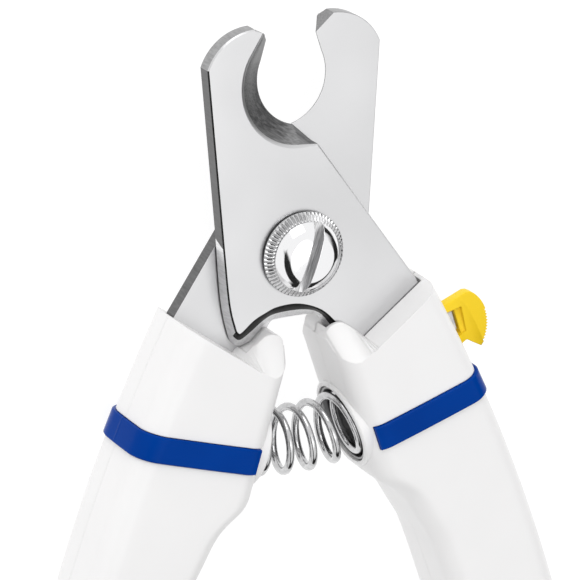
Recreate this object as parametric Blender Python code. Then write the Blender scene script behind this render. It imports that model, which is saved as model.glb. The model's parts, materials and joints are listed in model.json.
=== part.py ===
"""Scissor nail clipper for pets, lying on the backs of its handles with the jaws fully open.

Lengths below are millimetres, and the mesh builders turn them into metres. X runs across the tool, Y points
to the jaw tips and Z is up, out of the front of the tool. Outlines are drawn round the pivot, with
Z = 0 in the plane where the two blades meet, and every object is then placed on the pivot.
A point "in the handle" is measured in a frame that is turned by HANDLE_TILT, along the handle.
"""

import math

import bmesh
import bpy
from mathutils import Matrix, Vector

MM = 0.001
GAP = 0.3

# The tool
PIVOT_Y = 39.16
PIVOT_Z = 7.35
HANDLE_TILT = math.radians(17.5)
HANDLE_HALF_DEPTH = 6.9

# Blades, above the meeting plane
BLADE_INNER = 0.15
BLADE_OUTER = 2.35
PIVOT_HOLE_RADIUS = 3.3

# Handles
BLOCK_INNER = -0.8
GRIP_WIDTH = 14.65
OUTER_CREST = 18.7
OUTER_CREST_Y = -54.0
OUTER_RADIUS = 232.0
HANDLE_END_Y = -114.0
HANDLE_END_LENGTH = 8.0
SECTION_POWER = 4.5
WALL = 1.9
BAND_TOP = -24.7
BAND_BOTTOM = -28.05
BAND_START = 0.55
BAND_PROUD = 0.45
BAND_DEEP = 0.55

# Spring and its seats
SPRING_Y = -25.65
SEAT_MOUTH = -1.2
SEAT_FLOOR = 1.4
CUP_RADIUS = 5.2
SEAT_BORE = 5.5
BOSS_RADIUS = 6.0
COIL_RADIUS = 4.05
WIRE_RADIUS = 0.52
COIL_TURNS = 6.2

# Lock
LOCK_TRAVEL = 3.0
PAD_LOW = -2.5
PAD_HIGH = 0.5
PAD_WEB = -1.0
PLATE_LOW = -1.5
PLATE_HIGH = -0.5
GUIDE_PIN = (11.3, -20.0)
GUIDE_PIN_RADIUS = 0.7

TANG_PINS = ((8.3, -31.5), (8.3, -46.0))
SCREW_PLACES = ((14.1, -36.2), (None, -82.0), (None, -108.0))
SCREW_NAMES = ("upper", "middle", "lower")


# Collections and materials

def clear_scene():
    for obj in list(bpy.data.objects):
        bpy.data.objects.remove(obj, do_unlink=True)


def new_collection(name):
    collection = bpy.data.collections.new(name)
    bpy.context.scene.collection.children.link(collection)
    return collection


def material(name, colour, roughness, metallic=0.0):
    made = bpy.data.materials.new(name)
    made.use_nodes = True
    shader = made.node_tree.nodes["Principled BSDF"]
    shader.inputs["Base Color"].default_value = (*colour, 1.0)
    shader.inputs["Roughness"].default_value = roughness
    shader.inputs["Metallic"].default_value = metallic
    return made


clear_scene()
PARTS = new_collection("scissor_nail_clipper")
CUTTERS = new_collection("cutters")
CUTTERS.hide_render = True

FINISHES = {
    "blade_steel": material("blade_steel", (0.62, 0.62, 0.63), 0.28, 1.0),
    "chrome": material("chrome", (0.75, 0.75, 0.76), 0.12, 1.0),
    "plain_steel": material("plain_steel", (0.5, 0.5, 0.5), 0.4, 1.0),
    "white_plastic": material("white_plastic", (0.86, 0.86, 0.85), 0.25),
    "blue_plastic": material("blue_plastic", (0.0, 0.03, 0.22), 0.25),
    "yellow_plastic": material("yellow_plastic", (0.86, 0.52, 0.02), 0.35),
}


# Mesh building

def arc(centre, radius, start, end, count):
    """Points along a circular arc, angles in degrees."""
    angles = [math.radians(start + (end - start) * i / (count - 1)) for i in range(count)]
    return [(centre[0] + radius * math.cos(a), centre[1] + radius * math.sin(a)) for a in angles]


def new_piece(name, bm):
    """The finished mesh as an object on the pivot. It counts as a cutter until finish() takes it."""
    bm.normal_update()
    bmesh.ops.recalc_face_normals(bm, faces=bm.faces)
    mesh = bpy.data.meshes.new(name)
    bm.to_mesh(mesh)
    bm.free()
    obj = bpy.data.objects.new(name, mesh)
    obj.location = (0, PIVOT_Y * MM, PIVOT_Z * MM)
    obj.display_type = "WIRE"
    CUTTERS.objects.link(obj)
    return obj


def loft(name, rings):
    """A closed solid through rings that all have the same number of points."""
    bm = bmesh.new()
    loops = [[bm.verts.new(Vector(p) * MM) for p in ring] for ring in rings]
    bm.faces.new(loops[0])
    bm.faces.new(loops[-1])
    for low, high in zip(loops, loops[1:]):
        for i in range(len(low)):
            j = (i + 1) % len(low)
            bm.faces.new((low[i], low[j], high[j], high[i]))
    return new_piece(name, bm)


def plate_loft(name, levels):
    """A solid through unlike flat outlines: levels holds (height, outline) pairs."""
    return loft(name, [[(x, y, z) for x, y in outline] for z, outline in levels])


def plate(name, outline, low, high):
    """A flat outline, extruded from one height to another."""
    bm = bmesh.new()
    face = bm.faces.new([bm.verts.new((x * MM, y * MM, low * MM)) for x, y in outline])
    grown = bmesh.ops.extrude_face_region(bm, geom=[face])
    risen = [g for g in grown["geom"] if isinstance(g, bmesh.types.BMVert)]
    bmesh.ops.translate(bm, verts=risen, vec=(0, 0, (high - low) * MM))
    return new_piece(name, bm)


def turned(name, profile, steps, axis="z", centre=(0.0, 0.0, 0.0), phase=0.0):
    """A solid of revolution. Its (radius, height) profile ends on the axis, or closes on itself."""
    bm = bmesh.new()
    c, s = math.cos(math.radians(phase)), math.sin(math.radians(phase))
    verts = [bm.verts.new((r * c * MM, r * s * MM, h * MM)) for r, h in profile]
    edges = [bm.edges.new(pair) for pair in zip(verts, verts[1:])]
    bmesh.ops.spin(bm, geom=verts + edges, cent=(0, 0, 0), axis=(0, 0, 1),
                   angle=2 * math.pi, steps=steps)
    bmesh.ops.remove_doubles(bm, verts=bm.verts, dist=1e-6)
    to_axis = Matrix(((0, 0, 1, 0), (1, 0, 0, 0), (0, 1, 0, 0), (0, 0, 0, 1))) if axis == "x" else Matrix()
    place = Matrix.Translation(Vector(centre) * MM)
    bmesh.ops.transform(bm, matrix=place @ to_axis, verts=bm.verts)
    return new_piece(name, bm)


def rod(name, centre, radius, low, high, steps=20):
    """A cylinder along Z."""
    bm = bmesh.new()
    middle = Matrix.Translation(Vector((*centre, (low + high) / 2)) * MM)
    bmesh.ops.create_cone(bm, cap_ends=True, segments=steps, radius1=radius * MM,
                          radius2=radius * MM, depth=(high - low) * MM, matrix=middle)
    return new_piece(name, bm)


def box(name, low, high):
    bm = bmesh.new()
    low, high = Vector(low) * MM, Vector(high) * MM
    size = Matrix.Diagonal((*(high - low), 1))
    bmesh.ops.create_cube(bm, size=1, matrix=Matrix.Translation((low + high) / 2) @ size)
    return new_piece(name, bm)


def boolean(obj, operation, other):
    modifier = obj.modifiers.new(operation.title(), "BOOLEAN")
    modifier.operation = operation
    modifier.solver = "EXACT"
    modifier.object = other


def finish(obj, finish_name, parent, side=0):
    """Moves a piece to the parts, gives it its material, and turns a handle piece to its side."""
    CUTTERS.objects.unlink(obj)
    PARTS.objects.link(obj)
    obj.display_type = "TEXTURED"
    obj.data.materials.append(FINISHES[finish_name])
    turn_to_side(obj, side)
    obj.parent = parent
    obj.matrix_parent_inverse = parent.matrix_world.inverted()
    return obj


def turn_to_side(obj, side):
    """A piece drawn in the right handle's frame goes to the right, side 1, or mirrored, side -1."""
    if side < 0:
        for v in obj.data.vertices:
            v.co.x = -v.co.x
        obj.data.flip_normals()
    obj.rotation_euler.z = side * HANDLE_TILT


def axis_empty(name):
    empty = bpy.data.objects.new(name, None)
    empty.location = (0, PIVOT_Y * MM, PIVOT_Z * MM)
    PARTS.objects.link(empty)
    bpy.context.view_layer.update()
    return empty


def from_handle(points):
    """Points in the right handle's frame, as points round the pivot."""
    c = math.cos(HANDLE_TILT)
    s = math.sin(HANDLE_TILT)
    return [(x * c - y * s, x * s + y * c) for x, y in points]


# Blades

def blade_outline(ground):
    """The blade's outline. The ground side has the cutting bevel and the eased heel taken off."""
    if ground:
        notch = arc((0.4, 22.0), 8.2, 270, 152, 10) + [(-4.8, 29.0)]
        heel = [(-10.7, 2.0), (-10.1, -5.0), (-9.4, -8.3), (-9.0, -9.2), (-8.4, -9.3), (-6.7, -8.0),
                (-5.2, -7.3), (-3.3, -6.7), (-0.3, -6.8), (2.6, -7.9), (5.1, -9.8)]
    else:
        notch = arc((1.6, 22.4), 6.4, 255, 157, 10) + [(-3.5, 27.45)]
        heel = [(-10.8, 3.0), (-10.3, -5.0), (-9.4, -9.8), (-8.6, -11.2), (-7.6, -11.6), (-6.2, -11.1),
                (-4.5, -9.6), (-3.0, -9.0), (1.2, -9.0), (3.1, -9.3), (4.1, -11.0)]
    crown = arc((-6.0, 22.7), 6.9, 90, 158.7, 7)
    tang = [(4.9, -17.5), (5.8, -24.0), (5.9, -49.0)]
    tang += arc((8.3, -49.0), 2.4, 198, 342, 7)
    tang += [(10.7, -49.0), (10.7, -24.0), (13.0, -16.5), (13.9, -11.3)]
    return [(2.5, 13.8)] + notch + crown + heel + from_handle(tang)


def blade(name, turned_over, parent):
    piece = plate_loft(name, [(BLADE_INNER, blade_outline(False)), (BLADE_OUTER, blade_outline(True))])
    boolean(piece, "DIFFERENCE", rod(name + "_eye", (0, 0), PIVOT_HOLE_RADIUS, -1, 4, 40))
    for i, place in enumerate(from_handle(TANG_PINS)):
        boolean(piece, "DIFFERENCE", rod(f"{name}_pin_hole_{i}", place, 1.8, -1, 4))
    if turned_over:
        for cutter in CUTTERS.objects:
            if cutter.name.startswith(name):
                cutter.rotation_euler.y = math.pi
    return finish(piece, "blade_steel", parent)


# Pivot

def pivot(parent):
    shank = [(0, -5.9), (2.2, -5.9), (2.2, -2.9), (3.0, -2.9), (3.0, 3.95), (4.3, 3.95), (4.35, 4.0)]
    dome = [(r, 5.75 - 1.25 * (r / 4.3) ** 2.4) for r in (4.3, 3.9, 3.3, 2.4, 1.2)]
    screw = turned("pivot_screw", shank + dome + [(0, 5.75)], 48)
    slot = box("screw_slot", (-0.6, -6, 4.2), (0.6, 6, 7))
    slot.rotation_euler.z = math.radians(-19)
    boolean(screw, "DIFFERENCE", slot)
    finish(screw, "chrome", parent)
    finish(knurled_washer("lock_washer", 56), "chrome", parent)
    flat = [(3.3, -3.25), (5.0, -3.25), (5.0, -2.65), (3.3, -2.65), (3.3, -3.25)]
    finish(turned("rear_washer", flat, 36), "plain_steel", parent)
    nut = rod("pivot_nut", (0, 0), 4.6, -5.5, -3.55, 6)
    boolean(nut, "DIFFERENCE", rod("nut_bore", (0, 0), 2.5, -7, -2, 24))
    finish(nut, "plain_steel", parent)


def knurled_washer(name, teeth):
    """The washer under the screw head: its sloped face carries radial serrations."""
    slope = [(5.5, 3.0), (5.15, 3.25), (4.45, 3.65), (3.3, 3.65)]
    washer = turned(name, [(3.3, 2.65), (5.5, 2.65)] + slope + [(3.3, 2.65)], 2 * teeth)
    for v in washer.data.vertices:
        step = round(math.atan2(v.co.y, v.co.x) / math.pi * teeth)
        on_slope = v.co.z > 3.1 * MM and v.co.xy.length > 4 * MM
        if step % 2 and on_slope:
            v.co.z -= 0.22 * MM
    return washer


# Handles

def outer_edge(y):
    return OUTER_CREST - (y - OUTER_CREST_Y) ** 2 / (2 * OUTER_RADIUS)


def inner_edge(y):
    """The block by the pivot is wider than the grip, with a rounded step between them."""
    step = [(-32.0, BLOCK_INNER), (-33.2, -0.45), (-34.4, 0.5), (-35.6, 1.45), (-37.5, 2.35), (-40.5, 3.0)]
    if y >= step[0][0]:
        return BLOCK_INNER
    for (y0, x0), (y1, x1) in zip(step, step[1:]):
        if y >= y1:
            return x0 + (x1 - x0) * (y - y0) / (y1 - y0)
    return outer_edge(y) - GRIP_WIDTH


def section(y, inset=0.0, scale=1.0, count=32):
    """The handle's rounded cross-section at y, with flat middles at the front and the back."""
    middle = (inner_edge(y) + outer_edge(y)) / 2
    half_width = (outer_edge(y) - inner_edge(y)) / 2 * scale - inset
    half_depth = HANDLE_HALF_DEPTH * (0.35 + 0.65 * scale) - inset
    points = []
    for i in range(count):
        a = 2 * math.pi * (i + 0.5) / count
        across = math.copysign(abs(math.cos(a)) ** (2 / SECTION_POWER), math.cos(a))
        up = math.copysign(abs(math.sin(a)) ** (2 / SECTION_POWER), math.sin(a))
        if abs(across) < 0.75:
            up = math.copysign(1.0, up)
        points.append((middle + half_width * across, y, half_depth * up))
    return points


def handle_body(name):
    stations = [-7, -12, -18, -24, -28.5, -32, -33.2, -34.4, -35.6, -37.5, -40.5, -44, -50, -58,
                -66, -74, -82, -90, -98, HANDLE_END_Y + HANDLE_END_LENGTH]
    rings = [section(y) for y in stations]
    for t in (0.4, 0.68, 0.87, 0.97):
        rings.append(section(HANDLE_END_Y + HANDLE_END_LENGTH * (1 - t), 0.0, math.sqrt(1 - t * t)))
    return loft(name, rings)


def end_line(x):
    """The slanted end of the handle: how far along the handle it lies at x."""
    return -16.07 + 0.349 * x


def end_outline(fall):
    """What is cut off the handle's top end: the cheek, a V notch for the other heel and the slanted end.
    Away from the middle the cheek falls back, by fall, to the line of the slanted end."""
    cheek = [(-3.0, -12.4), (-0.8, -12.0), (-0.3, -11.2), (0.5, -10.75), (2.0, -11.0), (3.3, -12.6)]
    lowered = [(x, y + (end_line(x) - y) * fall) for x, y in cheek]
    return lowered + [(4.5, end_line(4.5)), (17.5, end_line(17.5)), (17.5, 5.0), (-3.0, 5.0)]


def own_blade_pocket():
    """Room for the handle's own blade and its tang, a gap wider than they are."""
    outline = [(-4.0, -5.0), (-4.0, -9.0)] + [(-1.67, -9.3), (-0.14, -10.1), (0.21, -11.8), (4.55, -17.7)]
    outline += [(5.5, -24.1), (5.6, -49.0)] + arc((8.3, -49.0), 2.7, 198, 342, 7)
    return outline + [(11.0, -49.0), (11.0, -23.9), (13.3, -16.4), (14.2, -11.2), (14.2, -5.0)]


def other_heel_room():
    """Room for the other blade's heel, which comes to rest in the V notch, round the pivot."""
    return [(-2.0, 0.0), (-2.0, -9.35), (2.9, -9.35), (4.3, -9.95), (5.95, -11.45), (7.55, -12.0),
            (8.85, -11.5), (9.8, -9.9), (10.7, -5.0), (10.7, 0.0)]


def lock_pocket():
    """Room for the lock plate to slide in, open at the slanted end and at the outer edge."""
    return [(6.9, -9.0), (6.9, -25.3), (14.6, -25.3), (14.6, -21.7), (20.0, -21.7), (20.0, -15.3),
            (14.6, -15.3), (14.6, -14.7), (9.1, -14.7), (9.1, -9.0)]


def clear_of_seat(point, least):
    """Near the inner face a strip stays outside the bore for the spring cup."""
    x, y, z = point
    return (x, y, math.copysign(max(abs(z), least), z)) if x < 3.2 else point


def band_ring(name, low, high, start, proud, deep, least):
    """The C-shaped strip round the handle's outer side between two heights along the handle."""
    rings = []
    for y in (low, high):
        outer = [p for p in section(y, -proud) if p[0] > start]
        inner = [clear_of_seat(p, least) for p in section(y, deep) if p[0] > start]
        outer.sort(key=lambda p: math.atan2(p[2], p[0] - 9.0))
        inner.sort(key=lambda p: math.atan2(p[2], p[0] - 9.0))
        outer = [(start, y, outer[0][2])] + outer + [(start, y, outer[-1][2])]
        inner = [(start, y, inner[0][2])] + inner + [(start, y, inner[-1][2])]
        rings.append(outer + inner[::-1])
    return loft(name, rings)


def screw_spot(place):
    x, y = place
    return ((inner_edge(y) + outer_edge(y)) / 2 if x is None else x, y)


def handle_shell(name, side, front, parent):
    """One half shell of a handle. The blade's tang lies in one of the two."""
    shell = handle_body(name)
    cutters = []
    boss = turned(name + "_boss", [(0, SEAT_MOUTH), (BOSS_RADIUS, SEAT_MOUTH), (BOSS_RADIUS, 3), (0, 3)],
                  40, "x", (0, SPRING_Y, 0))
    boolean(shell, "UNION", boss)
    half = (0.5 * GAP, 12.0) if front else (-12.0, -0.5 * GAP)
    half_space = box(name + "_half", (-20, -130, half[0]), (30, 10, half[1]))
    boolean(shell, "INTERSECT", half_space)
    heights = ((-7.9, 1.25), (-3.0, 0), (3.0, 0), (7.9, 1.25))
    cutters.append(plate_loft(name + "_end", [(z, end_outline(fall)) for z, fall in heights]))
    level = 1 if front else -1
    low, high = sorted((0, level * (BLADE_OUTER + GAP)))
    if level == side:
        cutters.append(plate(name + "_tang", own_blade_pocket(), low, high))
    else:
        room = plate(name + "_heel", other_heel_room(), low, high)
        room.rotation_euler.z = -HANDLE_TILT
        cutters.append(room)
    bore = [(0, -4), (SEAT_BORE, -4), (SEAT_BORE, SEAT_FLOOR + 0.7), (0, SEAT_FLOOR + 0.7)]
    cutters.append(turned(name + "_bore", bore, 40, "x", (0, SPRING_Y, 0), 4.5))
    cutters.append(band_ring(name + "_groove", BAND_BOTTOM - GAP, BAND_TOP + GAP,
                             BAND_START - GAP, 3.0, BAND_DEEP + GAP, SEAT_BORE + 0.35))
    for i, (top, bottom) in enumerate(((-56, -77), (-87, -103))):
        ys = [bottom + (top - bottom) * k / 4 for k in range(5)]
        cutters.append(loft(f"{name}_hollow_{i}", [section(y, WALL, 1.0, 24) for y in ys]))
    for i, place in enumerate(TANG_PINS):
        cutters.append(rod(f"{name}_pin_{i}", place, 1.8, -4.8, 4.8))
    for i, place in enumerate(SCREW_PLACES):
        spot = screw_spot(place)
        if front:
            cutters.append(rod(f"{name}_screw_{i}", spot, 1.4, -1, 4.1))
        else:
            cutters.append(rod(f"{name}_screw_{i}", spot, 1.4, -5.5, 1))
            cutters.append(rod(f"{name}_sink_{i}", spot, 2.6, -9, -4.8, 24))
    if side > 0 and not front:
        cutters.append(plate(name + "_lock", lock_pocket(), PLATE_LOW - GAP, 0))
        cutters.append(rod(name + "_guide", GUIDE_PIN, GUIDE_PIN_RADIUS + GAP, -4.3, 0))
    for cutter in cutters:
        boolean(shell, "DIFFERENCE", cutter)
    for helper in cutters + [boss, half_space]:
        spin_back = helper.rotation_euler.z
        turn_to_side(helper, side)
        helper.rotation_euler.z += side * spin_back
    return finish(shell, "white_plastic", parent, side)


def handle(side, parent):
    word = "right" if side > 0 else "left"
    handle_shell(f"{word}_handle_front", side, True, parent)
    handle_shell(f"{word}_handle_back", side, False, parent)
    band = band_ring(f"{word}_band", BAND_BOTTOM, BAND_TOP, BAND_START, BAND_PROUD, BAND_DEEP,
                     SEAT_BORE + 0.6)
    finish(band, "blue_plastic", parent, side)
    floor = SEAT_FLOOR
    profile = [(0, floor + 0.4), (CUP_RADIUS, floor + 0.4), (CUP_RADIUS, SEAT_MOUTH + 0.2),
               (CUP_RADIUS - 0.4, SEAT_MOUTH + 0.2), (CUP_RADIUS - 0.4, floor), (0, floor)]
    cup = turned(f"{word}_spring_cup", profile, 40, "x", (0, SPRING_Y, 0))
    finish(cup, "plain_steel", parent, side)
    for word_of_place, place in zip(("upper", "lower"), TANG_PINS):
        pin = rod(f"{word}_tang_pin_{word_of_place}", place, 1.5, -4.5, 4.5)
        finish(pin, "plain_steel", parent, side)
    for word_of_place, place in zip(SCREW_NAMES, SCREW_PLACES):
        handle_screw(f"{word}_handle_screw_{word_of_place}", screw_spot(place), side, parent)


def handle_screw(name, spot, side, parent):
    """A pan head screw from the back, with a cross recess."""
    x, y = spot
    profile = [(0, 3.8), (1.1, 3.8), (1.1, -5.1), (2.3, -5.1), (2.3, -6.0), (1.8, -6.45), (0, -6.45)]
    screw = turned(name, profile, 20, "z", (x, y, 0))
    for i, (wide, tall) in enumerate(((1.2, 0.28), (0.28, 1.2))):
        arm = box(f"{name}_recess_{i}", (x - wide, y - tall, -8), (x + wide, y + tall, -5.75))
        turn_to_side(arm, side)
        boolean(screw, "DIFFERENCE", arm)
    finish(screw, "plain_steel", parent, side)


# Spring

def spring(parent):
    """The compression spring, bowed a little so that each end stands square in its cup."""
    seat_x, seat_y = from_handle([(SEAT_FLOOR, SPRING_Y)])[0]
    bow = seat_x / math.sin(HANDLE_TILT)
    centre_y = seat_y + bow * math.cos(HANDLE_TILT)
    reach = HANDLE_TILT - (WIRE_RADIUS + GAP) / bow
    curve = bpy.data.curves.new("handle_spring", "CURVE")
    curve.dimensions = "3D"
    curve.bevel_depth = WIRE_RADIUS * MM
    curve.bevel_resolution = 2
    curve.use_fill_caps = True
    wire = curve.splines.new("POLY")
    steps = int(COIL_TURNS * 16)
    wire.points.add(steps)
    for i, point in enumerate(wire.points):
        swing = reach * spring_place(i / steps)
        turn = 2 * math.pi * COIL_TURNS * i / steps
        from_centre = bow - COIL_RADIUS * math.cos(turn)
        x, y = from_centre * math.sin(swing), centre_y - from_centre * math.cos(swing)
        point.co = (x * MM, y * MM, COIL_RADIUS * math.sin(turn) * MM, 1)
    coil = bpy.data.objects.new("handle_spring", curve)
    coil.location = (0, PIVOT_Y * MM, PIVOT_Z * MM)
    CUTTERS.objects.link(coil)
    finish(coil, "chrome", parent)


def spring_place(t):
    """Where along the spring, from -1 to 1, the wire is at t: the end turns lie closer together."""
    end_turn = 0.8 / COIL_TURNS
    end_rise = 0.13
    if t < end_turn:
        return -1 + end_rise * t / end_turn
    if t > 1 - end_turn:
        return 1 - end_rise * (1 - t) / end_turn
    return (1 - end_rise) * (2 * (t - end_turn) / (1 - 2 * end_turn) - 1)


# Lock

def lock(right_parent, lock_parent):
    """A thumb slide on the outer edge, the plate that it carries, and the plate's guide pin."""
    teeth = arc((16.8, -20.5), 5.45, -44, 4, 23)
    shallow = arc((16.8, -20.5), 5.2, -44, 4, 23)
    serrated = [teeth[i] if i % 2 == 0 else shallow[i] for i in range(23)]
    outline = [(16.0, -17.2), (16.2, -18.5), (19.2, -18.6), (19.0, -22.0), (16.85, -22.0),
               (17.05, -23.2), (18.8, -23.2), (19.6, -24.1), (20.4, -24.9)]
    outline += serrated + arc((16.8, -20.5), 5.45, 11, 41, 4) + [(20.4, -17.1)]
    pad = plate("lock_slide", outline, PAD_LOW, PAD_HIGH)
    web = plate("pad_web", [(18.4, -17.9), (18.4, -22.6), (20.0, -22.6), (20.0, -17.9)], PAD_LOW, PAD_WEB)
    turn_to_side(web, 1)
    boolean(pad, "UNION", web)
    finish(pad, "yellow_plastic", lock_parent, 1)
    plan = [(7.2, -14.1), (7.2, -22.0), (9.3, -22.0), (9.3, -25.0), (13.3, -25.0), (13.3, -21.4),
            (18.1, -21.4), (18.1, -18.8), (14.2, -18.8), (14.2, -18.0), (8.8, -18.0), (8.8, -14.1)]
    carrier = plate("lock_plate", plan, PLATE_LOW, PLATE_HIGH)
    x, y = GUIDE_PIN
    half = GUIDE_PIN_RADIUS + GAP
    top = y + half
    window = arc((x, top - half), half, 0, 180, 7) + arc((x, top - half - LOCK_TRAVEL), half, 180, 360, 7)
    slot = plate("lock_plate_slot", window, -3, 1)
    turn_to_side(slot, 1)
    boolean(carrier, "DIFFERENCE", slot)
    finish(carrier, "plain_steel", lock_parent, 1)
    pin = rod("lock_guide_pin", GUIDE_PIN, GUIDE_PIN_RADIUS, -4.0, -0.2, 16)
    finish(pin, "plain_steel", right_parent, 1)


def main():
    right_half = axis_empty("right_half")
    left_half = axis_empty("left_half")
    lock_half = axis_empty("lock_travel")
    lock_half.rotation_euler.z = HANDLE_TILT
    bpy.context.view_layer.update()
    blade("front_blade", False, right_half)
    blade("back_blade", True, left_half)
    pivot(right_half)
    handle(1, right_half)
    handle(-1, left_half)
    spring(right_half)
    lock(right_half, lock_half)


main()
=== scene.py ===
import json
import math

import bmesh
import bpy
from mathutils import Matrix, Vector

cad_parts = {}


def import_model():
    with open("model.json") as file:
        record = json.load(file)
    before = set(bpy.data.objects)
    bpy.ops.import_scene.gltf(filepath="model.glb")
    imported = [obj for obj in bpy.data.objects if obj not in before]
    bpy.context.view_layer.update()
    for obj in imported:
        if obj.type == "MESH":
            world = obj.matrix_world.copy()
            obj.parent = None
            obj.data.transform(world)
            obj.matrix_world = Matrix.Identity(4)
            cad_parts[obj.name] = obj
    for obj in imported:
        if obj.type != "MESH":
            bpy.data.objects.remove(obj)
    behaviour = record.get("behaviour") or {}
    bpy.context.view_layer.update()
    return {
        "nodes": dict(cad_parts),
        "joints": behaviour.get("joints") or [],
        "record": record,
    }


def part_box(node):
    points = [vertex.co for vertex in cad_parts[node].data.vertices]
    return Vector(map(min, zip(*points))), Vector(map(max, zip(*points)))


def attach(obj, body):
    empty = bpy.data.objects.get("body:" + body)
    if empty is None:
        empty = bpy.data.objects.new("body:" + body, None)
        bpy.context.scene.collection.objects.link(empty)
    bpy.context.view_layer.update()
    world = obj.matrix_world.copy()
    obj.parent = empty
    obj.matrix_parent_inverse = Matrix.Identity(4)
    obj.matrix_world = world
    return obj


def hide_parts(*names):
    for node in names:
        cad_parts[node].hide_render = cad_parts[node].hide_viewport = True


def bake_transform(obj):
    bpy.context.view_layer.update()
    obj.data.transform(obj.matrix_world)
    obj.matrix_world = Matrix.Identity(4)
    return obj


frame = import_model()

# Looks for the scissor nail clipper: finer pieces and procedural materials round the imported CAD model.
# Lengths are millimetres round the pivot, with Z = 0 where the blades meet. "Local" points are in the
# right handle's frame, which is turned by TILT; the left handle is its mirror image.

MM = 0.001
JOINTS = {joint["name"]: joint for joint in frame["joints"]}
PIVOT = Vector(JOINTS["close"]["pos_m"])
SLIDE = JOINTS["lock_travel"]["axis"]
TILT = math.atan2(-SLIDE[0], SLIDE[1])
WORD = {1: "right", -1: "left"}

# Handle section, measured along the handle from the pivot
DEPTH = (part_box("right_handle_front")[1].z - PIVOT.z) / MM
SEAM = 0.015
CORNER = 2.7
BACK_CORNER = 4.7
BLOCK_INNER = -0.8
GRIP_WIDTH = 14.65
SIDE_CROWN = 0.22
FACE_CROWN = 0.16
OUTER_CREST = (18.7, -54.0)
OUTER_RADIUS = 232.0
END_Y = -114.0
END_LENGTH = 8.0
BAND_TOP = -24.7
BAND_BOTTOM = -28.05
BAND_START = 0.5
SPRING_Y = -25.65
SEAT_MOUTH = -1.2
BOSS_RADIUS = 6.0
BORE_RADIUS = 5.35

# Blade, thumb slide and light
BLADE_BACK = 0.15
BLADE_FRONT = 2.35
SLIDE_BACK = -2.5
SLIDE_FRONT = 0.5
FINGER_CENTRE = (16.8, -20.5)
FINGER_RADIUS = 5.55
DARK = 0.02


# Curves and outlines

def arc(centre, radius, start, end, count):
    """Points along a circular arc, angles in degrees."""
    angles = [math.radians(start + (end - start) * i / (count - 1)) for i in range(count)]
    return [(centre[0] + radius * math.cos(a), centre[1] + radius * math.sin(a)) for a in angles]


def smooth_through(points, steps):
    """A Catmull-Rom curve through the points, with the first and last kept."""
    made = []
    padded = [points[0]] + points + [points[-1]]
    for a, b, c, d in zip(padded, padded[1:], padded[2:], padded[3:]):
        for i in range(steps):
            t = i / steps
            made.append(tuple(
                0.5 * (2 * q + (r - p) * t + (2 * p - 5 * q + 4 * r - s) * t * t
                       + (3 * q - p - 3 * r + s) * t ** 3)
                for p, q, r, s in zip(a, b, c, d)))
    return made + [points[-1]]


def inset(outline, distance):
    """The outline moved inward by a small distance, for a chamfer."""
    moved = []
    for i, (x, y) in enumerate(outline):
        before, after = Vector(outline[i - 1]), Vector(outline[(i + 1) % len(outline)])
        along = (after - before).normalized()
        moved.append((x - along.y * distance, y + along.x * distance))
    return moved


def mix_outlines(a, b, t):
    return [(p[0] + (q[0] - p[0]) * t, p[1] + (q[1] - p[1]) * t) for p, q in zip(a, b)]


def from_handle(points):
    c, s = math.cos(TILT), math.sin(TILT)
    return [(x * c - y * s, x * s + y * c) for x, y in points]


# Meshes

def loft(name, rings, closed=False, paint=None):
    """A solid through rings of points. paint(segment, ring) gives a face's material number."""
    bm = bmesh.new()
    loops = [[bm.verts.new(p) for p in ring] for ring in rings]
    pairs = list(zip(loops, loops[1:]))
    if closed:
        pairs.append((loops[-1], loops[0]))
    else:
        bm.faces.new(loops[0])
        bm.faces.new(loops[-1])
    for k, (low, high) in enumerate(pairs):
        for i in range(len(low)):
            j = (i + 1) % len(low)
            face = bm.faces.new((low[i], low[j], high[j], high[i]))
            face.material_index = paint(i, k) if paint else 0
    bmesh.ops.remove_doubles(bm, verts=bm.verts, dist=1e-5)
    return new_object(name, bm)


def new_object(name, bm):
    bm.normal_update()
    bmesh.ops.recalc_face_normals(bm, faces=bm.faces)
    mesh = bpy.data.meshes.new(name)
    bm.to_mesh(mesh)
    bm.free()
    obj = bpy.data.objects.new(name, mesh)
    bpy.context.scene.collection.objects.link(obj)
    return obj


def levels(name, rings, paint=None):
    return loft(name, [[(x, y, z) for x, y in outline] for z, outline in rings], paint=paint)


def turned(name, profile, steps, axis="z", centre=(0, 0, 0)):
    """A solid of revolution. Its (radius, height) profile ends on the axis, or closes on itself."""
    bm = bmesh.new()
    verts = [bm.verts.new((r, 0, h)) for r, h in profile]
    edges = [bm.edges.new(pair) for pair in zip(verts, verts[1:])]
    bmesh.ops.spin(bm, geom=verts + edges, cent=(0, 0, 0), axis=(0, 0, 1),
                   angle=2 * math.pi, steps=steps)
    bmesh.ops.remove_doubles(bm, verts=bm.verts, dist=1e-4)
    to_axis = Matrix(((0, 0, 1, 0), (1, 0, 0, 0), (0, 1, 0, 0), (0, 0, 0, 1))) if axis == "x" else Matrix()
    bmesh.ops.transform(bm, matrix=Matrix.Translation(centre) @ to_axis, verts=bm.verts)
    return new_object(name, bm)


def rod(name, centre, radius, low, high, steps=32):
    ring = arc(centre, radius, 0, 360 - 360 / steps, steps)
    return levels(name, [(low, ring), (high, ring)])


def cut(obj, *cutters, operation="DIFFERENCE"):
    """Cuts, or joins, and applies the result, so that the piece is one plain mesh."""
    for cutter in cutters:
        modifier = obj.modifiers.new("cut", "BOOLEAN")
        modifier.operation = operation
        modifier.solver = "EXACT"
        modifier.object = cutter
    apply_modifiers(obj)
    for cutter in cutters:
        bpy.data.objects.remove(cutter)


def apply_modifiers(obj):
    bpy.context.view_layer.update()
    shaped = obj.evaluated_get(bpy.context.evaluated_depsgraph_get())
    mesh = bpy.data.meshes.new_from_object(shaped)
    obj.modifiers.clear()
    obj.data = mesh


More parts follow.
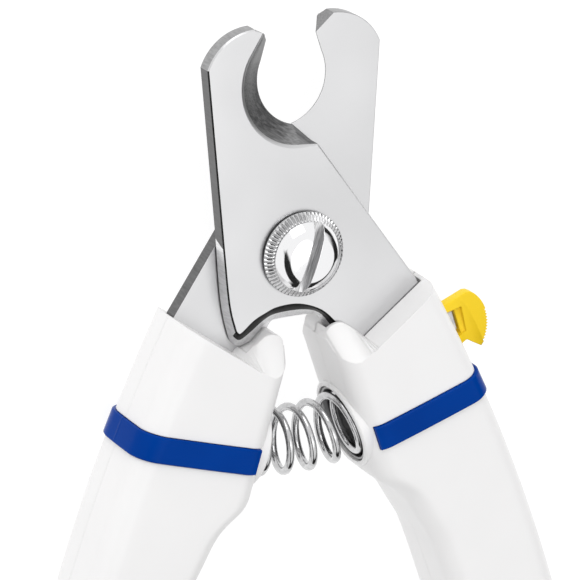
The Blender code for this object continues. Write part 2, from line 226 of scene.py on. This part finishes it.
def round_edges(obj, width, segments=3, angle=35):
    modifier = obj.modifiers.new("rounding", "BEVEL")
    modifier.width = width
    modifier.segments = segments
    modifier.limit_method = "ANGLE"
    modifier.angle_limit = math.radians(angle)
    apply_modifiers(obj)


def settle(obj, node, materials, side=0, angle=32):
    """Puts a piece in the row frame in place of its CAD node, on that node's body."""
    turn = Matrix.Rotation(side * TILT, 4, "Z")
    mirror = Matrix.Diagonal((-1, 1, 1, 1)) if side < 0 else Matrix()
    obj.data.transform(Matrix.Translation(PIVOT) @ Matrix.Scale(MM, 4) @ turn @ mirror)
    if side < 0:
        obj.data.flip_normals()
    if not obj.data.materials:
        give(obj, materials)
    obj.data.shade_smooth()
    obj.data.set_sharp_from_angle(angle=math.radians(angle))
    for face in obj.data.polygons:
        if len(face.vertices) > 12:
            face.use_smooth = False
    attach(obj, body_of(node))
    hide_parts(node)
    return obj


def give(obj, materials):
    for material in materials:
        obj.data.materials.append(material)


def body_of(node):
    bodies = frame["record"]["behaviour"]["bodies"]
    return next(body for body, nodes in bodies.items() if node in nodes)


# Materials

def base_material(name, colour, roughness, metallic=0.0, **values):
    made = bpy.data.materials.new(name)
    made.use_nodes = True
    shader = made.node_tree.nodes["Principled BSDF"]
    shader.inputs["Base Color"].default_value = (*colour, 1)
    shader.inputs["Roughness"].default_value = roughness
    shader.inputs["Metallic"].default_value = metallic
    for socket, value in values.items():
        shader.inputs[socket.replace("_", " ")].default_value = value
    return made, made.node_tree, shader


def noise(tree, size, stretch=(1, 1, 1), turn=0.0, detail=3.0):
    """A noise whose grains are about size millimetres, drawn out along one direction by stretch."""
    place = tree.nodes.new("ShaderNodeTexCoord")
    mapping = tree.nodes.new("ShaderNodeMapping")
    mapping.vector_type = "TEXTURE"
    mapping.inputs["Rotation"].default_value = (0, 0, turn)
    mapping.inputs["Scale"].default_value = stretch
    grain = tree.nodes.new("ShaderNodeTexNoise")
    grain.inputs["Scale"].default_value = 1 / (size * MM)
    grain.inputs["Detail"].default_value = detail
    tree.links.new(place.outputs["Object"], mapping.inputs["Vector"])
    tree.links.new(mapping.outputs["Vector"], grain.inputs["Vector"])
    return grain.outputs["Fac"]


def vary(tree, source, socket, low, high, span=(0.35, 0.65)):
    """Drives a number by a noise, between low and high."""
    spread = tree.nodes.new("ShaderNodeMapRange")
    spread.inputs["From Min"].default_value = span[0]
    spread.inputs["From Max"].default_value = span[1]
    spread.inputs["To Min"].default_value = low
    spread.inputs["To Max"].default_value = high
    tree.links.new(source, spread.inputs["Value"])
    tree.links.new(spread.outputs["Result"], socket)


def tint(tree, source, socket, low, high, span=(0.35, 0.65)):
    """Drives a colour by a noise, between two colours."""
    ramp = tree.nodes.new("ShaderNodeValToRGB")
    ramp.color_ramp.elements[0].position = span[0]
    ramp.color_ramp.elements[1].position = span[1]
    ramp.color_ramp.elements[0].color = (*low, 1)
    ramp.color_ramp.elements[1].color = (*high, 1)
    tree.links.new(source, ramp.inputs["Fac"])
    tree.links.new(ramp.outputs["Color"], socket)


def relief(tree, shader, source, depth, edge):
    """Fine relief of a depth in millimetres, over edges that are eased by a radius in millimetres."""
    eased = tree.nodes.new("ShaderNodeBevel")
    eased.samples = 6
    eased.inputs["Radius"].default_value = edge * MM
    bump = tree.nodes.new("ShaderNodeBump")
    bump.inputs["Distance"].default_value = depth * MM
    tree.links.new(source, bump.inputs["Height"])
    tree.links.new(eased.outputs["Normal"], bump.inputs["Normal"])
    tree.links.new(bump.outputs["Normal"], shader.inputs["Normal"])


def grey(value):
    return (value, value, value * 1.01)


def blade_face_steel():
    made, tree, shader = base_material("blade_face", grey(0.62), 0.3, 1.0)
    sheen = noise(tree, 22, detail=2)
    streaks = noise(tree, 0.14, stretch=(14, 1, 1), turn=math.radians(12), detail=2)
    tint(tree, sheen, shader.inputs["Base Color"], grey(0.57), grey(0.66), (0.3, 0.7))
    vary(tree, streaks, shader.inputs["Roughness"], 0.29, 0.34)
    relief(tree, shader, streaks, 0.0004, 0.1)
    return made


def streaked_steel(name, dark, light, roughness, size, stretch, turn):
    """A ground or blanked edge: streaks in one direction, in colour, gloss and relief."""
    made, tree, shader = base_material(name, grey(dark), roughness, 1.0)
    streaks = noise(tree, size, stretch=stretch, turn=math.radians(turn))
    tint(tree, streaks, shader.inputs["Base Color"], grey(dark), grey(light), (0.3, 0.7))
    vary(tree, streaks, shader.inputs["Roughness"], roughness - 0.06, roughness + 0.08)
    relief(tree, shader, streaks, 0.002, 0.08)
    return made


def chrome_plate():
    made, tree, shader = base_material("chrome_plate", grey(0.86), 0.07, 1.0)
    haze = noise(tree, 1.5)
    vary(tree, haze, shader.inputs["Roughness"], 0.05, 0.11)
    relief(tree, shader, haze, 0.01, 0.12)
    return made


def plain_steel(name, dark, light, roughness):
    made, tree, shader = base_material(name, grey(light), roughness, 1.0)
    haze = noise(tree, 0.8)
    tint(tree, haze, shader.inputs["Base Color"], grey(dark), grey(light))
    vary(tree, haze, shader.inputs["Roughness"], roughness * 0.8, roughness * 1.25)
    relief(tree, shader, haze, 0.006, 0.12)
    return made


def moulded(name, low, high, roughness, edge, specular):
    """Gloss moulded plastic: a faint flow mottle in the colour, and a gloss and surface that waver."""
    made, tree, shader = base_material(name, high, roughness, Specular_IOR_Level=specular)
    flow = noise(tree, 9, detail=2)
    waver = noise(tree, 5, detail=1)
    tint(tree, flow, shader.inputs["Base Color"], low, high, (0.15, 0.85))
    vary(tree, waver, shader.inputs["Roughness"], roughness - 0.04, roughness + 0.04, (0.1, 0.9))
    relief(tree, shader, waver, 0.002, edge)
    return made


FACE = blade_face_steel()
GROUND = streaked_steel("blade_ground", 0.2, 0.34, 0.34, 0.16, (1, 10, 1), 55)
# Painted shade: the blade's side walls are the edge steel darkened, for the dark they would reflect.
EDGE_WALL_PAINTED_SHADE = streaked_steel("blade_side_painted_shade", 0.11, 0.19, 0.42, 0.22, (1, 1, 8), 0)
# Painted light: the heel's edge wall is the same edge steel made light, for the bright it reflects.
HEEL_PAINTED_LIGHT = streaked_steel("blade_heel_painted_light", 0.75, 0.95, 0.36, 0.22, (1, 1, 8), 0)
# Painted shade, lighter than on the side: the crown's edge wall is the same edge steel made mid-grey.
CROWN_PAINTED_SHADE = streaked_steel("blade_crown_painted_shade", 0.26, 0.42, 0.36, 0.2, (1, 1, 8), 0)
# Painted shade: a near-black steel for the dark line along the chamfer, by the left edge and the heel.
CHAMFER_PAINTED_SHADE = streaked_steel("blade_edge_painted_shade", 0.012, 0.035, 0.36, 0.4, (1, 1, 4), 0)
SLOT = streaked_steel("screw_slot", 0.32, 0.85, 0.36, 0.22, (1, 14, 1), -19)
CHROME = chrome_plate()
STEEL = plain_steel("dull_steel", 0.45, 0.6, 0.36)
WIRE = plain_steel("spring_wire", 0.5, 0.62, 0.1)
# Painted shade: the spring cup's steel is darkened for the shade inside its hollow.
CUP_PAINTED_SHADE = plain_steel("cup_steel_painted_shade", 0.25, 0.35, 0.36)
WHITE = moulded("white_plastic", (0.8, 0.795, 0.795), (0.825, 0.82, 0.82), 0.33, 0.15, 0.25)
BLUE = moulded("blue_plastic", (0.0, 0.034, 0.235), (0.0, 0.044, 0.29), 0.2, 0.15, 0.03)
YELLOW = moulded("yellow_plastic", (0.84, 0.57, 0.012), (0.9, 0.64, 0.025), 0.4, 0.2, 0.15)


# Blades

def blade_outlines():
    """The outlines on the meeting side and on the ground side, and the number of points in the notch, the
    crown and the heel."""
    notch = arc((1.6, 22.4), 6.4, 255, 157, 30) + [(-3.5, 27.45)]
    ground_notch = arc((0.4, 22.0), 8.2, 270, 152, 30) + [(-4.8, 29.0)]
    crown = arc((-6.0, 22.7), 6.9, 90, 158.7, 16)
    heel = smooth_through([(-10.8, 3.0), (-10.3, -5.0), (-9.4, -9.8), (-8.6, -11.2), (-7.6, -11.6),
                           (-6.2, -11.1), (-4.5, -9.6), (-3.0, -9.0), (1.2, -9.0), (3.1, -9.3),
                           (4.1, -11.0)], 5)
    ground_heel = smooth_through([(-10.7, 2.0), (-10.1, -5.0), (-9.4, -8.3), (-9.0, -9.2), (-8.4, -9.3),
                                  (-6.7, -8.0), (-5.2, -7.3), (-3.3, -6.7), (-0.3, -6.8), (2.7, -8.1),
                                  (4.8, -10.2)], 5)
    tang = [(4.9, -17.5), (5.8, -24.0), (5.9, -49.0)] + arc((8.3, -49.0), 2.4, 198, 342, 9)
    tang += [(10.7, -49.0), (10.7, -24.0), (13.0, -16.5), (13.9, -11.3)]
    root = [(2.5, 13.8)]
    meeting = root + notch + crown + heel + from_handle(tang)
    ground = root + ground_notch + crown + ground_heel + from_handle(tang)
    return meeting, ground, len(notch), len(crown), len(heel)


def blade(name, node, turned_over):
    low, high, chamfer = BLADE_BACK, BLADE_FRONT, 0.2
    meeting, ground, notch_count, crown_count, heel_count = blade_outlines()
    thick = high - low
    rings = [(low, inset(meeting, 0.05)), (low + 0.06, meeting)]
    rings += [(low + thick * t, mix_outlines(meeting, ground, t)) for t in (0.3, 0.52)]
    rings.append((high - chamfer, mix_outlines(meeting, ground, 1 - chamfer / thick)))
    rings.append((high, inset(ground, chamfer * 0.8)))

    crown_end = notch_count + crown_count
    heel_end = crown_end + heel_count
    # The edge walls are one steel painted in three tones for how light falls on them: painted shade on the
    # side, lighter painted shade on the crown, painted light on the heel.
    face, ground_edge, side, line, light, crown = range(6)

    def paint(i, k):
        """The last band up is the chamfer, with a painted-shade dark line along the left edge and the heel;
        below it the edge walls carry painted shade, and painted light on the heel.
        """
        if k == len(rings) - 2:
            return line if crown_end <= i <= heel_end else face
        # Painted shade: along the lower heel the dark line reaches one band further down.
        if k == len(rings) - 3 and crown_end + 12 < i <= heel_end:
            return line
        if i <= notch_count:
            return ground_edge
        # Painted light on the heel's edge wall.
        if crown_end < i <= heel_end:
            return light
        # Painted shade on the side walls, and lighter painted shade on the crown's walls.
        return crown if i < crown_end else side

    piece = levels(name, rings, paint)
    give(piece, (FACE, GROUND, EDGE_WALL_PAINTED_SHADE, CHAMFER_PAINTED_SHADE, HEEL_PAINTED_LIGHT, CROWN_PAINTED_SHADE))
    cut(piece, rod("eye", (0, 0), 3.15, -1, 4, 48))
    if turned_over:
        piece.data.transform(Matrix.Rotation(math.pi, 4, "Y"))
    settle(piece, node, (), angle=25)


# Pivot

def pivot():
    shank = [(0, -5.9), (2.2, -5.9), (2.2, -2.9), (3.0, -2.9), (3.0, 3.95), (4.45, 3.95), (4.55, 4.05)]
    head = [(4.55, 4.2), (4.4, 4.4), (3.8, 4.98), (3.7, 5.04), (3.05, 5.42), (2.9, 5.47), (2.0, 5.6),
            (1.0, 5.71), (0, 5.75)]
    screw = turned("pivot_screw_head", shank + head, 96)
    slot = levels("slot", [(z, [(-0.68, -6), (0.68, -6), (0.68, 6), (-0.68, 6)]) for z in (4.2, 7)])
    slot.data.transform(Matrix.Rotation(math.radians(-19), 4, "Z"))
    for face in slot.data.polygons:
        face.material_index = 1
    give(screw, (CHROME, SLOT))
    cut(screw, slot)
    settle(screw, "pivot_screw", (), angle=14)
    settle(knurled_washer("knurled_washer", 62), "lock_washer", (WIRE,), angle=12)


def knurled_washer(name, teeth):
    """The washer under the head: V-shaped radial teeth on its sloped face."""
    rings = []
    for i in range(4 * teeth):
        a = 2 * math.pi * i / (4 * teeth)
        drop = (0.0, 0.15, 0.34, 0.15)[i % 4]
        corners = ((3.3, 2.65), (5.35, 2.65), (5.5, 2.8), (5.5, 3.02 - 0.3 * drop), (5.2, 3.28 - drop),
                   (4.55, 3.66 - drop), (4.35, 3.65), (3.3, 3.65))
        rings.append([(r * math.cos(a), r * math.sin(a), z) for r, z in corners])
    return loft(name, rings, closed=True)


# Handles

def outer_edge(y):
    return OUTER_CREST[0] - (y - OUTER_CREST[1]) ** 2 / (2 * OUTER_RADIUS)


def inner_edge(y):
    """The wide block by the pivot steps back to the grip; the step's corners are eased."""
    step = [(0.0, BLOCK_INNER), (-32.3, BLOCK_INNER), (-33.2, -0.45), (-35.6, 1.45), (-37.5, 2.35),
            (-40.5, 3.0)]
    samples = [straight_inner(y + ease, step) for ease in (-0.9, -0.45, 0, 0.45, 0.9)]
    return sum(samples) / len(samples)


def straight_inner(y, step):
    for (y0, x0), (y1, x1) in zip(step, step[1:]):
        if y >= y1:
            return x0 + (x1 - x0) * (y - y0) / (y1 - y0)
    grip = outer_edge(y) - GRIP_WIDTH
    blend = min(1, (step[-1][0] - y) / 3.5)
    return step[-1][1] * (1 - blend) + grip * blend if blend < 1 else grip


def half_section(y, grow=0.0, scale=1.0, seam=SEAM, start=None, outer=CORNER):
    """Half of the handle's section at y: a rounded rectangle with slightly crowned sides, and its own
    radius on the outer corner. With a start it is cut off there, on the inner side."""
    middle = (inner_edge(y) + outer_edge(y)) / 2
    wide = (outer_edge(y) - inner_edge(y)) / 2 * scale + grow
    deep = DEPTH * (0.35 + 0.65 * scale) + grow
    room = min(wide, deep) - 0.1
    near, far = min(CORNER + grow, room), min(outer + grow, room)
    rim = [(wide, seam + (deep - far - seam) * t) for t in (0, 0.25, 0.5, 0.75)]
    rim += arc((wide - far, deep - far), far, 0, 90, 14)
    rim += [(wide - far - (2 * wide - near - far) * t, deep)
            for t in (0.12, 0.25, 0.38, 0.5, 0.62, 0.75, 0.88)]
    rim += arc((near - wide, deep - near), near, 90, 180, 14)
    rim += [(-wide, seam + (deep - near - seam) * t) for t in (0.75, 0.5, 0.25, 0)]
    crowned = [(x - SIDE_CROWN * x / wide * (z / deep) ** 2, z - FACE_CROWN * (x / wide) ** 2)
               for x, z in rim]
    ring = [(middle + x, y, z) for x, z in crowned]
    if start is None:
        return ring
    top = next(z for x, _, z in reversed(ring) if x >= start)
    return [p if p[0] >= start else (start, y, top) for p in ring]


def outer_corner_at(level):
    return CORNER if level > 0 else BACK_CORNER


def handle_solid(name, level):
    outer = outer_corner_at(level)
    stations = [-7 - 1.4 * i for i in range(16)]
    stations += [-29.4 - 0.6 * i for i in range(26)]
    stations += [-46 - 3.0 * i for i in range(20)] + [END_Y + END_LENGTH]
    rings = [half_section(y, outer=outer) for y in stations]
    for angle in range(12, 85, 9):
        t = math.sin(math.radians(angle))
        y, narrower = END_Y + END_LENGTH * (1 - t), math.sqrt(1 - t * t)
        rings.append(half_section(y, scale=narrower, outer=outer))
    return loft(name, [[(x, y, level * z) for x, y, z in ring] for ring in rings])


def end_outline(fall):
    """What is cut off the handle's top end: the cheek, a V notch for the other heel and the slanted end.
    Away from the middle the cheek falls back, by fall, to the line of the slanted end."""
    cheek = smooth_through([(-3.0, -12.4), (-0.8, -12.0), (-0.3, -11.2), (0.5, -10.75), (2.0, -11.0),
                            (3.3, -12.6), (4.5, -14.5)], 4)[:-1]
    lowered = [(x, y + (end_line(x) - y) * fall) for x, y in cheek]
    return lowered + [(4.5, end_line(4.5)), (17.5, end_line(17.5)), (17.5, 5.0), (-3.0, 5.0)]


def end_line(x):
    return -16.07 + 0.349 * x


def end_cutter():
    return levels("end", [(-7.9, end_outline(1.25)), (-3.0, end_outline(0)), (3.0, end_outline(0)),
                          (7.9, end_outline(1.25))])


def blade_pocket(level, own):
    outline = [(-4.0, -5.0), (-4.0, -9.0), (-1.67, -9.3), (-0.14, -10.1), (0.21, -11.8), (4.55, -17.7),
               (5.5, -24.1), (5.6, -49.0)] + arc((8.3, -49.0), 2.7, 198, 342, 7)
    outline += [(11.0, -49.0), (11.0, -23.9), (13.3, -16.4), (14.2, -11.2), (14.2, -5.0)]
    if not own:
        outline = [(-2.0, 0.0), (-2.0, -9.35), (2.9, -9.35), (4.3, -9.95), (5.95, -11.45),
                   (7.55, -12.0), (8.85, -11.5), (9.8, -9.9), (10.7, -5.0), (10.7, 0.0)]
    low, high = sorted((-0.3 * level, level * 2.5))
    pocket = levels("pocket", [(low, outline), (high, outline)])
    if not own:
        pocket.data.transform(Matrix.Rotation(-TILT, 4, "Z"))
    return pocket


def lock_pocket():
    outline = [(6.9, -9.0), (6.9, -25.3), (14.6, -25.3), (14.6, -21.7), (20.0, -21.7), (20.0, -15.3),
               (14.6, -15.3), (14.6, -14.7), (9.1, -14.7), (9.1, -9.0)]
    return levels("lock_room", [(-1.8, outline), (0.4, outline)])


def strip(name, level, low, high, start, proud, deep, ease):
    """Half of the C-shaped strip round the outer side, between two heights along the handle. It stands
    proud of the handle and reaches deep into it, and its two long edges are eased."""
    outer_corner = outer_corner_at(level)
    rings = []
    for y, shy in ((low, ease), (low + ease, 0), (high - ease, 0), (high, ease)):
        outer = half_section(y, proud - shy, seam=0.0, start=start, outer=outer_corner)
        inner = half_section(y, -deep, seam=0.0, start=start, outer=outer_corner)
        rings.append([(x, y, level * z) for x, y, z in outer + inner[::-1]])
    return loft(name, rings)


def screw_places():
    return [(14.1, -36.2)] + [((inner_edge(y) + outer_edge(y)) / 2, y) for y in (-82.0, -108.0)]


def spring_boss(level):
    """Half of the round boss that holds the spring cup, with its rim eased."""
    ends = ((SEAT_MOUTH, BOSS_RADIUS - 0.2), (SEAT_MOUTH + 0.2, BOSS_RADIUS), (3.0, BOSS_RADIUS))
    return loft("boss", [[(x, SPRING_Y + b, level * (c + SEAM)) for b, c in arc((0, 0), radius, 0, 180, 40)]
                         for x, radius in ends])


def handle_shell(side, level):
    face = "front" if level > 0 else "back"
    node = f"{WORD[side]}_handle_{face}"
    shell = handle_solid(node + "_shell", level)
    cut(shell, spring_boss(level), operation="UNION")
    bore = turned("bore", [(0, -4), (BORE_RADIUS, -4), (BORE_RADIUS, 2.1), (0, 2.1)], 64, "x",
                  (0, SPRING_Y, 0))
    groove = strip("groove", level, BAND_BOTTOM - 0.08, BAND_TOP + 0.08, BAND_START, 3.0, 0.6, 0.0)
    cutters = [bore, end_cutter(), blade_pocket(level, level == side), groove]
    if side > 0 > level:
        cutters.append(lock_pocket())
    if level < 0:
        cutters += [rod("sink", place, 2.6, -9, -4.8) for place in screw_places()]
    cut(shell, *cutters)
    settle(shell, node, (WHITE,), side)


def band(side):
    bm = bmesh.new()
    for level in (1, -1):
        half = strip("half", level, BAND_BOTTOM, BAND_TOP, BAND_START + 0.05, 0.42, 0.5, 0.16)
        bm.from_mesh(half.data)
        bpy.data.objects.remove(half)
    inner = [f for f in bm.faces if all(abs(v.co.z) < 1e-5 for v in f.verts)]
    bmesh.ops.delete(bm, geom=inner, context="FACES")
    bmesh.ops.remove_doubles(bm, verts=bm.verts, dist=1e-3)
    piece = new_object(WORD[side] + "_blue_band", bm)
    settle(piece, WORD[side] + "_band", (BLUE,), side)


def spring_cup(side):
    lip = SEAT_MOUTH + 0.2
    profile = [(0, 1.8), (5.0, 1.8), (5.2, 1.6), (5.2, lip + 0.1), (5.13, lip), (4.95, lip),
               (4.88, lip + 0.1), (4.85, 1.25), (4.7, 1.4), (2.0, 1.4), (1.7, 1.2), (0, 1.2)]
    cup = turned(WORD[side] + "_cup", profile, 72, "x", (0, SPRING_Y, 0))
    # The cup takes the darkened steel, painted shade for its hollow.
    settle(cup, WORD[side] + "_spring_cup", (CUP_PAINTED_SHADE,), side)


# Spring

def spring():
    floor_x, floor_y = from_handle([(1.4, SPRING_Y)])[0]
    bow = floor_x / math.sin(TILT)
    centre_y = floor_y + bow * math.cos(TILT)
    wire, coil, turns, per_turn, around = 0.52, 4.05, 6.2, 30, 14
    reach = TILT - (wire + 0.3) / bow
    rings = []
    for i in range(int(turns * per_turn) + 1):
        t = i / int(turns * per_turn)
        swing = reach * spring_place(t, turns)
        turn = 2 * math.pi * turns * t
        ring = []
        for k in range(around):
            b = 2 * math.pi * k / around
            from_centre = bow - (coil + wire * math.cos(b)) * math.cos(turn)
            along = swing + wire * math.sin(b) / bow
            ring.append((from_centre * math.sin(along), centre_y - from_centre * math.cos(along),
                         (coil + wire * math.cos(b)) * math.sin(turn)))
        rings.append(ring)
    piece = loft("coil_spring", rings)
    piece.data.transform(Matrix.Translation(PIVOT) @ Matrix.Scale(MM, 4))
    piece.data.materials.append(WIRE)
    piece.data.shade_smooth()
    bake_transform(piece)
    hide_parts("handle_spring")


def spring_place(t, turns):
    """Where along the spring, from -1 to 1, the wire is at t: the end turns lie closer together."""
    end_turn = 0.8 / turns
    end_rise = 0.13
    if t < end_turn:
        return -1 + end_rise * t / end_turn
    if t > 1 - end_turn:
        return 1 - end_rise * (1 - t) / end_turn
    return (1 - end_rise) * (2 * (t - end_turn) / (1 - 2 * end_turn) - 1)


# Lock

def lock_slide():
    """The thumb slide: a stem with a window, a web behind the window and a ridged finger rest."""
    outline = [(16.0, -17.1), (16.2, -18.1), (19.2, -18.3), (19.0, -22.0), (16.85, -22.0),
               (17.05, -23.2), (18.8, -23.2), (19.6, -24.1), (20.4, -24.9)]
    outline += finger_ridges() + arc(FINGER_CENTRE, FINGER_RADIUS, 11, 34, 8)
    outline += [(20.95, -16.95), (20.45, -16.75)]
    pad = levels("thumb_slide", [(z, outline) for z in (SLIDE_BACK, SLIDE_FRONT)])
    web_outline = [(18.3, -18.0), (18.3, -22.6), (20.0, -22.6), (20.0, -18.0)]
    behind_arm = [(15.0, -18.5), (18.3, -18.5), (23.0, -21.5), (23.0, -16.0), (15.0, -16.0)]
    cut(pad, levels("web", [(z, web_outline) for z in (SLIDE_BACK, -0.1)]), operation="UNION")
    cut(pad, levels("behind_arm", [(z, behind_arm) for z in (SLIDE_BACK - 0.5, -1.0)]))
    round_edges(pad, 0.22)
    cut(pad, valley())
    settle(pad, "lock_slide", (YELLOW,), 1)


def valley():
    """The dip between the finger rest and the slide's stem. It fades out towards the jaws."""
    rings = [[(19.2 + x, y, z) for x, z in arc((0, height), 2.4, 0, 352.5, 48)]
             for y, height in ((-25.6, 2.2), (-17.4, 2.9))]
    return loft("valley", rings)


def finger_ridges():
    """Shallow V grooves across the round side of the finger rest."""
    count, start, end, depth = 11, -44, 4, 0.27
    crests = arc(FINGER_CENTRE, FINGER_RADIUS, start, end, 2 * count + 1)
    valleys = arc(FINGER_CENTRE, FINGER_RADIUS - depth, start, end, 2 * count + 1)
    return [valleys[i] if i % 2 else crests[i] for i in range(2 * count + 1)]


# Carried-over CAD nodes

def dress_cad_nodes():
    """Pieces whose CAD shape is already right keep it, with a finished material."""
    for name, node in frame["nodes"].items():
        plain = ("tang_pin", "handle_screw", "guide_pin", "rear_washer", "pivot_nut", "lock_plate")
        if any(word in name for word in plain):
            node.data.materials.clear()
            node.data.materials.append(STEEL)


# Setting

def floor():
    bm = bmesh.new()
    bmesh.ops.create_grid(bm, x_segments=8, y_segments=8, size=1.5)
    plane = new_object("floor", bm)
    made, tree, shader = base_material("floor_paper", (0.2, 0.2, 0.2), 0.9, Specular_IOR_Level=0.1)
    shader.inputs["Emission Color"].default_value = (1, 1, 1, 1)
    shader.inputs["Emission Strength"].default_value = 0.88
    plane.data.materials.append(made)


def world():
    """A white tent with a dark gap between its top and its left wall, which bright metal shows."""
    made = bpy.data.worlds.new("studio")
    made.use_nodes = True
    tree = made.node_tree
    place = tree.nodes.new("ShaderNodeTexCoord")
    beside = brightness(tree, place, (0.82, 0.31, 0.48),
                        ((0, 1), (0.35, 1), (0.39, DARK), (0.5, DARK), (0.53, 1)))
    ahead = brightness(tree, place, (0, 1, 0), ((0, 0), (0.52, 0), (0.62, 1)))
    above = brightness(tree, place, (0, 0, 1),
                       ((0, 1), (0.48, 1), (0.5, DARK), (0.66, DARK), (0.74, 1)))
    away = brightness(tree, place, (-0.85, 0.53, 0), ((0, 0), (0.31, 0), (0.4, 1)))
    gap = mix_values(tree, "MAXIMUM", beside, ahead)
    horizon = mix_values(tree, "MAXIMUM", above, away)
    tree.links.new(mix_values(tree, "MINIMUM", gap, horizon), tree.nodes["Background"].inputs["Color"])
    tree.nodes["Background"].inputs["Strength"].default_value = 1.05
    bpy.context.scene.world = made


def mix_values(tree, operation, first, second):
    mixed = tree.nodes.new("ShaderNodeMath")
    mixed.operation = operation
    tree.links.new(first, mixed.inputs[0])
    tree.links.new(second, mixed.inputs[1])
    return mixed.outputs[0]


def brightness(tree, place, direction, stops):
    """A brightness that depends on how far the view turns from a direction: 1 along it, 0 opposite."""
    turn = tree.nodes.new("ShaderNodeVectorMath")
    turn.operation = "DOT_PRODUCT"
    turn.inputs[1].default_value = direction
    half = tree.nodes.new("ShaderNodeMath")
    half.operation = "MULTIPLY_ADD"
    half.inputs[1].default_value = 0.5
    half.inputs[2].default_value = 0.5
    ramp = tree.nodes.new("ShaderNodeValToRGB")
    for _ in stops[2:]:
        ramp.color_ramp.elements.new(1.0)
    for element, (position, value) in zip(ramp.color_ramp.elements, stops):
        element.position = position
        element.color = (value, value, value, 1)
    tree.links.new(place.outputs["Generated"], turn.inputs[0])
    tree.links.new(turn.outputs["Value"], half.inputs[0])
    tree.links.new(half.outputs[0], ramp.inputs["Fac"])
    return ramp.outputs["Color"]


def softbox(name, toward, distance, size, power):
    light = bpy.data.lights.new(name, "AREA")
    light.size = size
    light.energy = power
    lamp = bpy.data.objects.new(name, light)
    lamp.location = PIVOT + Vector(toward).normalized() * distance
    lamp.rotation_euler = Vector(toward).to_track_quat("Z", "Y").to_euler()
    bpy.context.scene.collection.objects.link(lamp)


def camera():
    """A long lens that looks down on the pivot, from the left and towards the jaws."""
    turn, rise, roll = math.radians(26.43), math.radians(19.33), math.radians(0.61)
    toward = Vector((-math.sin(turn) * math.cos(rise), math.sin(rise), math.cos(turn) * math.cos(rise)))
    level_right = Vector((math.cos(turn), 0, math.sin(turn)))
    level_up = toward.cross(level_right)
    right = level_right * math.cos(roll) - level_up * math.sin(roll)
    up = toward.cross(right)
    distance, aside, above = 0.5, 0.000384, 0.0053
    eye = bpy.data.cameras.new("camera")
    eye.lens = 248.3
    eye.clip_start = 0.02
    rig = bpy.data.objects.new("camera", eye)
    axes = Matrix((right, up, toward)).transposed().to_4x4()
    rig.matrix_world = Matrix.Translation(PIVOT + toward * distance - right * aside - up * above) @ axes
    bpy.context.scene.collection.objects.link(rig)
    bpy.context.scene.camera = rig


blade("front_blade_steel", "front_blade", False)
blade("back_blade_steel", "back_blade", True)
pivot()
for side in (1, -1):
    handle_shell(side, 1)
    handle_shell(side, -1)
    band(side)
    spring_cup(side)
spring()
lock_slide()
dress_cad_nodes()
floor()
world()
softbox("key", (-0.1, 0.85, 0.45), 0.6, 0.35, 0.85)
softbox("overhead", (0.1, -0.1, 1.0), 0.6, 0.35, 0.4)
camera()
bpy.context.scene.view_settings.view_transform = "Standard"
